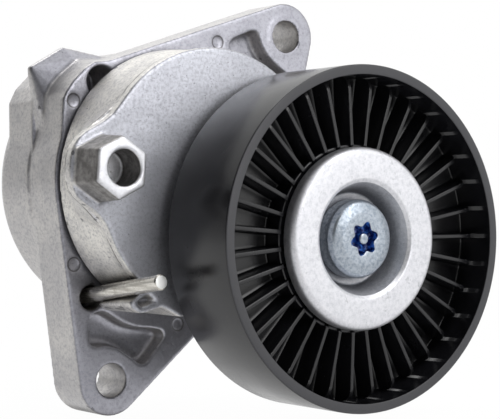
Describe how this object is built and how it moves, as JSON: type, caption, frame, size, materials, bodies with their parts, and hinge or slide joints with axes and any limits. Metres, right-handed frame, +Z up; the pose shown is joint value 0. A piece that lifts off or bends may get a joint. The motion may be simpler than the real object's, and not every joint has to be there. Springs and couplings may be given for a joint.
{
  "type": "belt tensioner idler",
  "caption": "Spring-loaded belt tensioner: die-cast base with bolt ears, pivoting arm with hexagon lug, ribbed black idler pulley, dust cap and lock pin.",
  "frame": {"origin": "where the arm's pivot axis crosses the plane of the mounting face on the base", "axes": "-Y is the front, towards the pulley and along the pivot axis; +Z is up and +X is right when looking at the front"},
  "size_m": [0.1161, 0.0866, 0.1141],
  "materials": {
    "cast_base": "as-cast, satin, lightly scuffed",
    "cast_arm": "as-cast, satin, speckled",
    "machined_steel": "turned",
    "plate_steel": "punched, satin",
    "washer_plastic": "moulded, matte",
    "friction_plastic": "moulded, matte",
    "dust_ring_rubber": "matte",
    "seat_plastic": "moulded, matte",
    "spring_steel": "shot-peened, oiled",
    "bush_bronze": "lined sleeve",
    "plated_sheet": "plated, satin",
    "bearing_steel": "ground",
    "cap_sheet": "plated, fine matte",
    "plated_bolt": "zinc plated, slightly blue",
    "seal_rubber": "matte",
    "pulley_plastic": "black glass-filled nylon, satin",
    "cage_plastic": "moulded",
    "ball_steel": "polished",
    "pin_steel": "drawn wire, plain"
  },
  "bodies": {
    "base": {"base_housing": "cast_base", "pivot_shaft": "machined_steel", "pivot_end_plate": "plate_steel", "rear_thrust_washer": "washer_plastic", "front_thrust_washer": "washer_plastic", "damper_band": "friction_plastic", "dust_ring": "dust_ring_rubber", "rear_spring_seat": "seat_plastic", "spring_sleeve": "seat_plastic", "torsion_spring": "spring_steel"},
    "arm": {"arm_casting": "cast_arm", "pivot_bush": "bush_bronze", "front_spring_seat": "seat_plastic", "bearing_sleeve": "machined_steel", "rear_shield": "plated_sheet", "bearing_inner_ring": "bearing_steel", "dust_cap": "cap_sheet", "pulley_bolt": "plated_bolt"},
    "pulley": {"pulley_wheel": "pulley_plastic", "bearing_outer_ring": "bearing_steel", "front_seal": "seal_rubber", "rear_seal": "seal_rubber"},
    "ball_set": {"bearing_cage": "cage_plastic", "ball_1": "ball_steel", "ball_2": "ball_steel", "ball_3": "ball_steel", "ball_4": "ball_steel", "ball_5": "ball_steel", "ball_6": "ball_steel", "ball_7": "ball_steel", "ball_8": "ball_steel"},
    "pin": {"lock_pin": "pin_steel"}
  },
  "joints": [
    {"name": "arm_pivot", "type": "hinge", "parent": "base", "child": "arm", "pos_m": [0, 0, 0], "axis": [0, -1, 0], "range_deg": [0, 22], "stiffness_Nm_per_rad": 12, "springref_deg": -68.75},
    {"name": "pulley_spin", "type": "hinge", "parent": "arm", "child": "pulley", "pos_m": [0.027, -0.0505, -0.015], "axis": [0, -1, 0], "continuous": true},
    {"name": "ball_set_spin", "type": "hinge", "parent": "arm", "child": "ball_set", "pos_m": [0.027, -0.0505, -0.015], "axis": [0, -1, 0], "continuous": true},
    {"name": "pin_pull", "type": "slide", "parent": "base", "child": "pin", "axis": [0, -0.9912, 0.1323], "range_m": [0, 0.045]}
  ],
  "couplings": [
    {"joint": "ball_set_spin", "follows": "pulley_spin", "ratio": 0.6175}
  ]
}
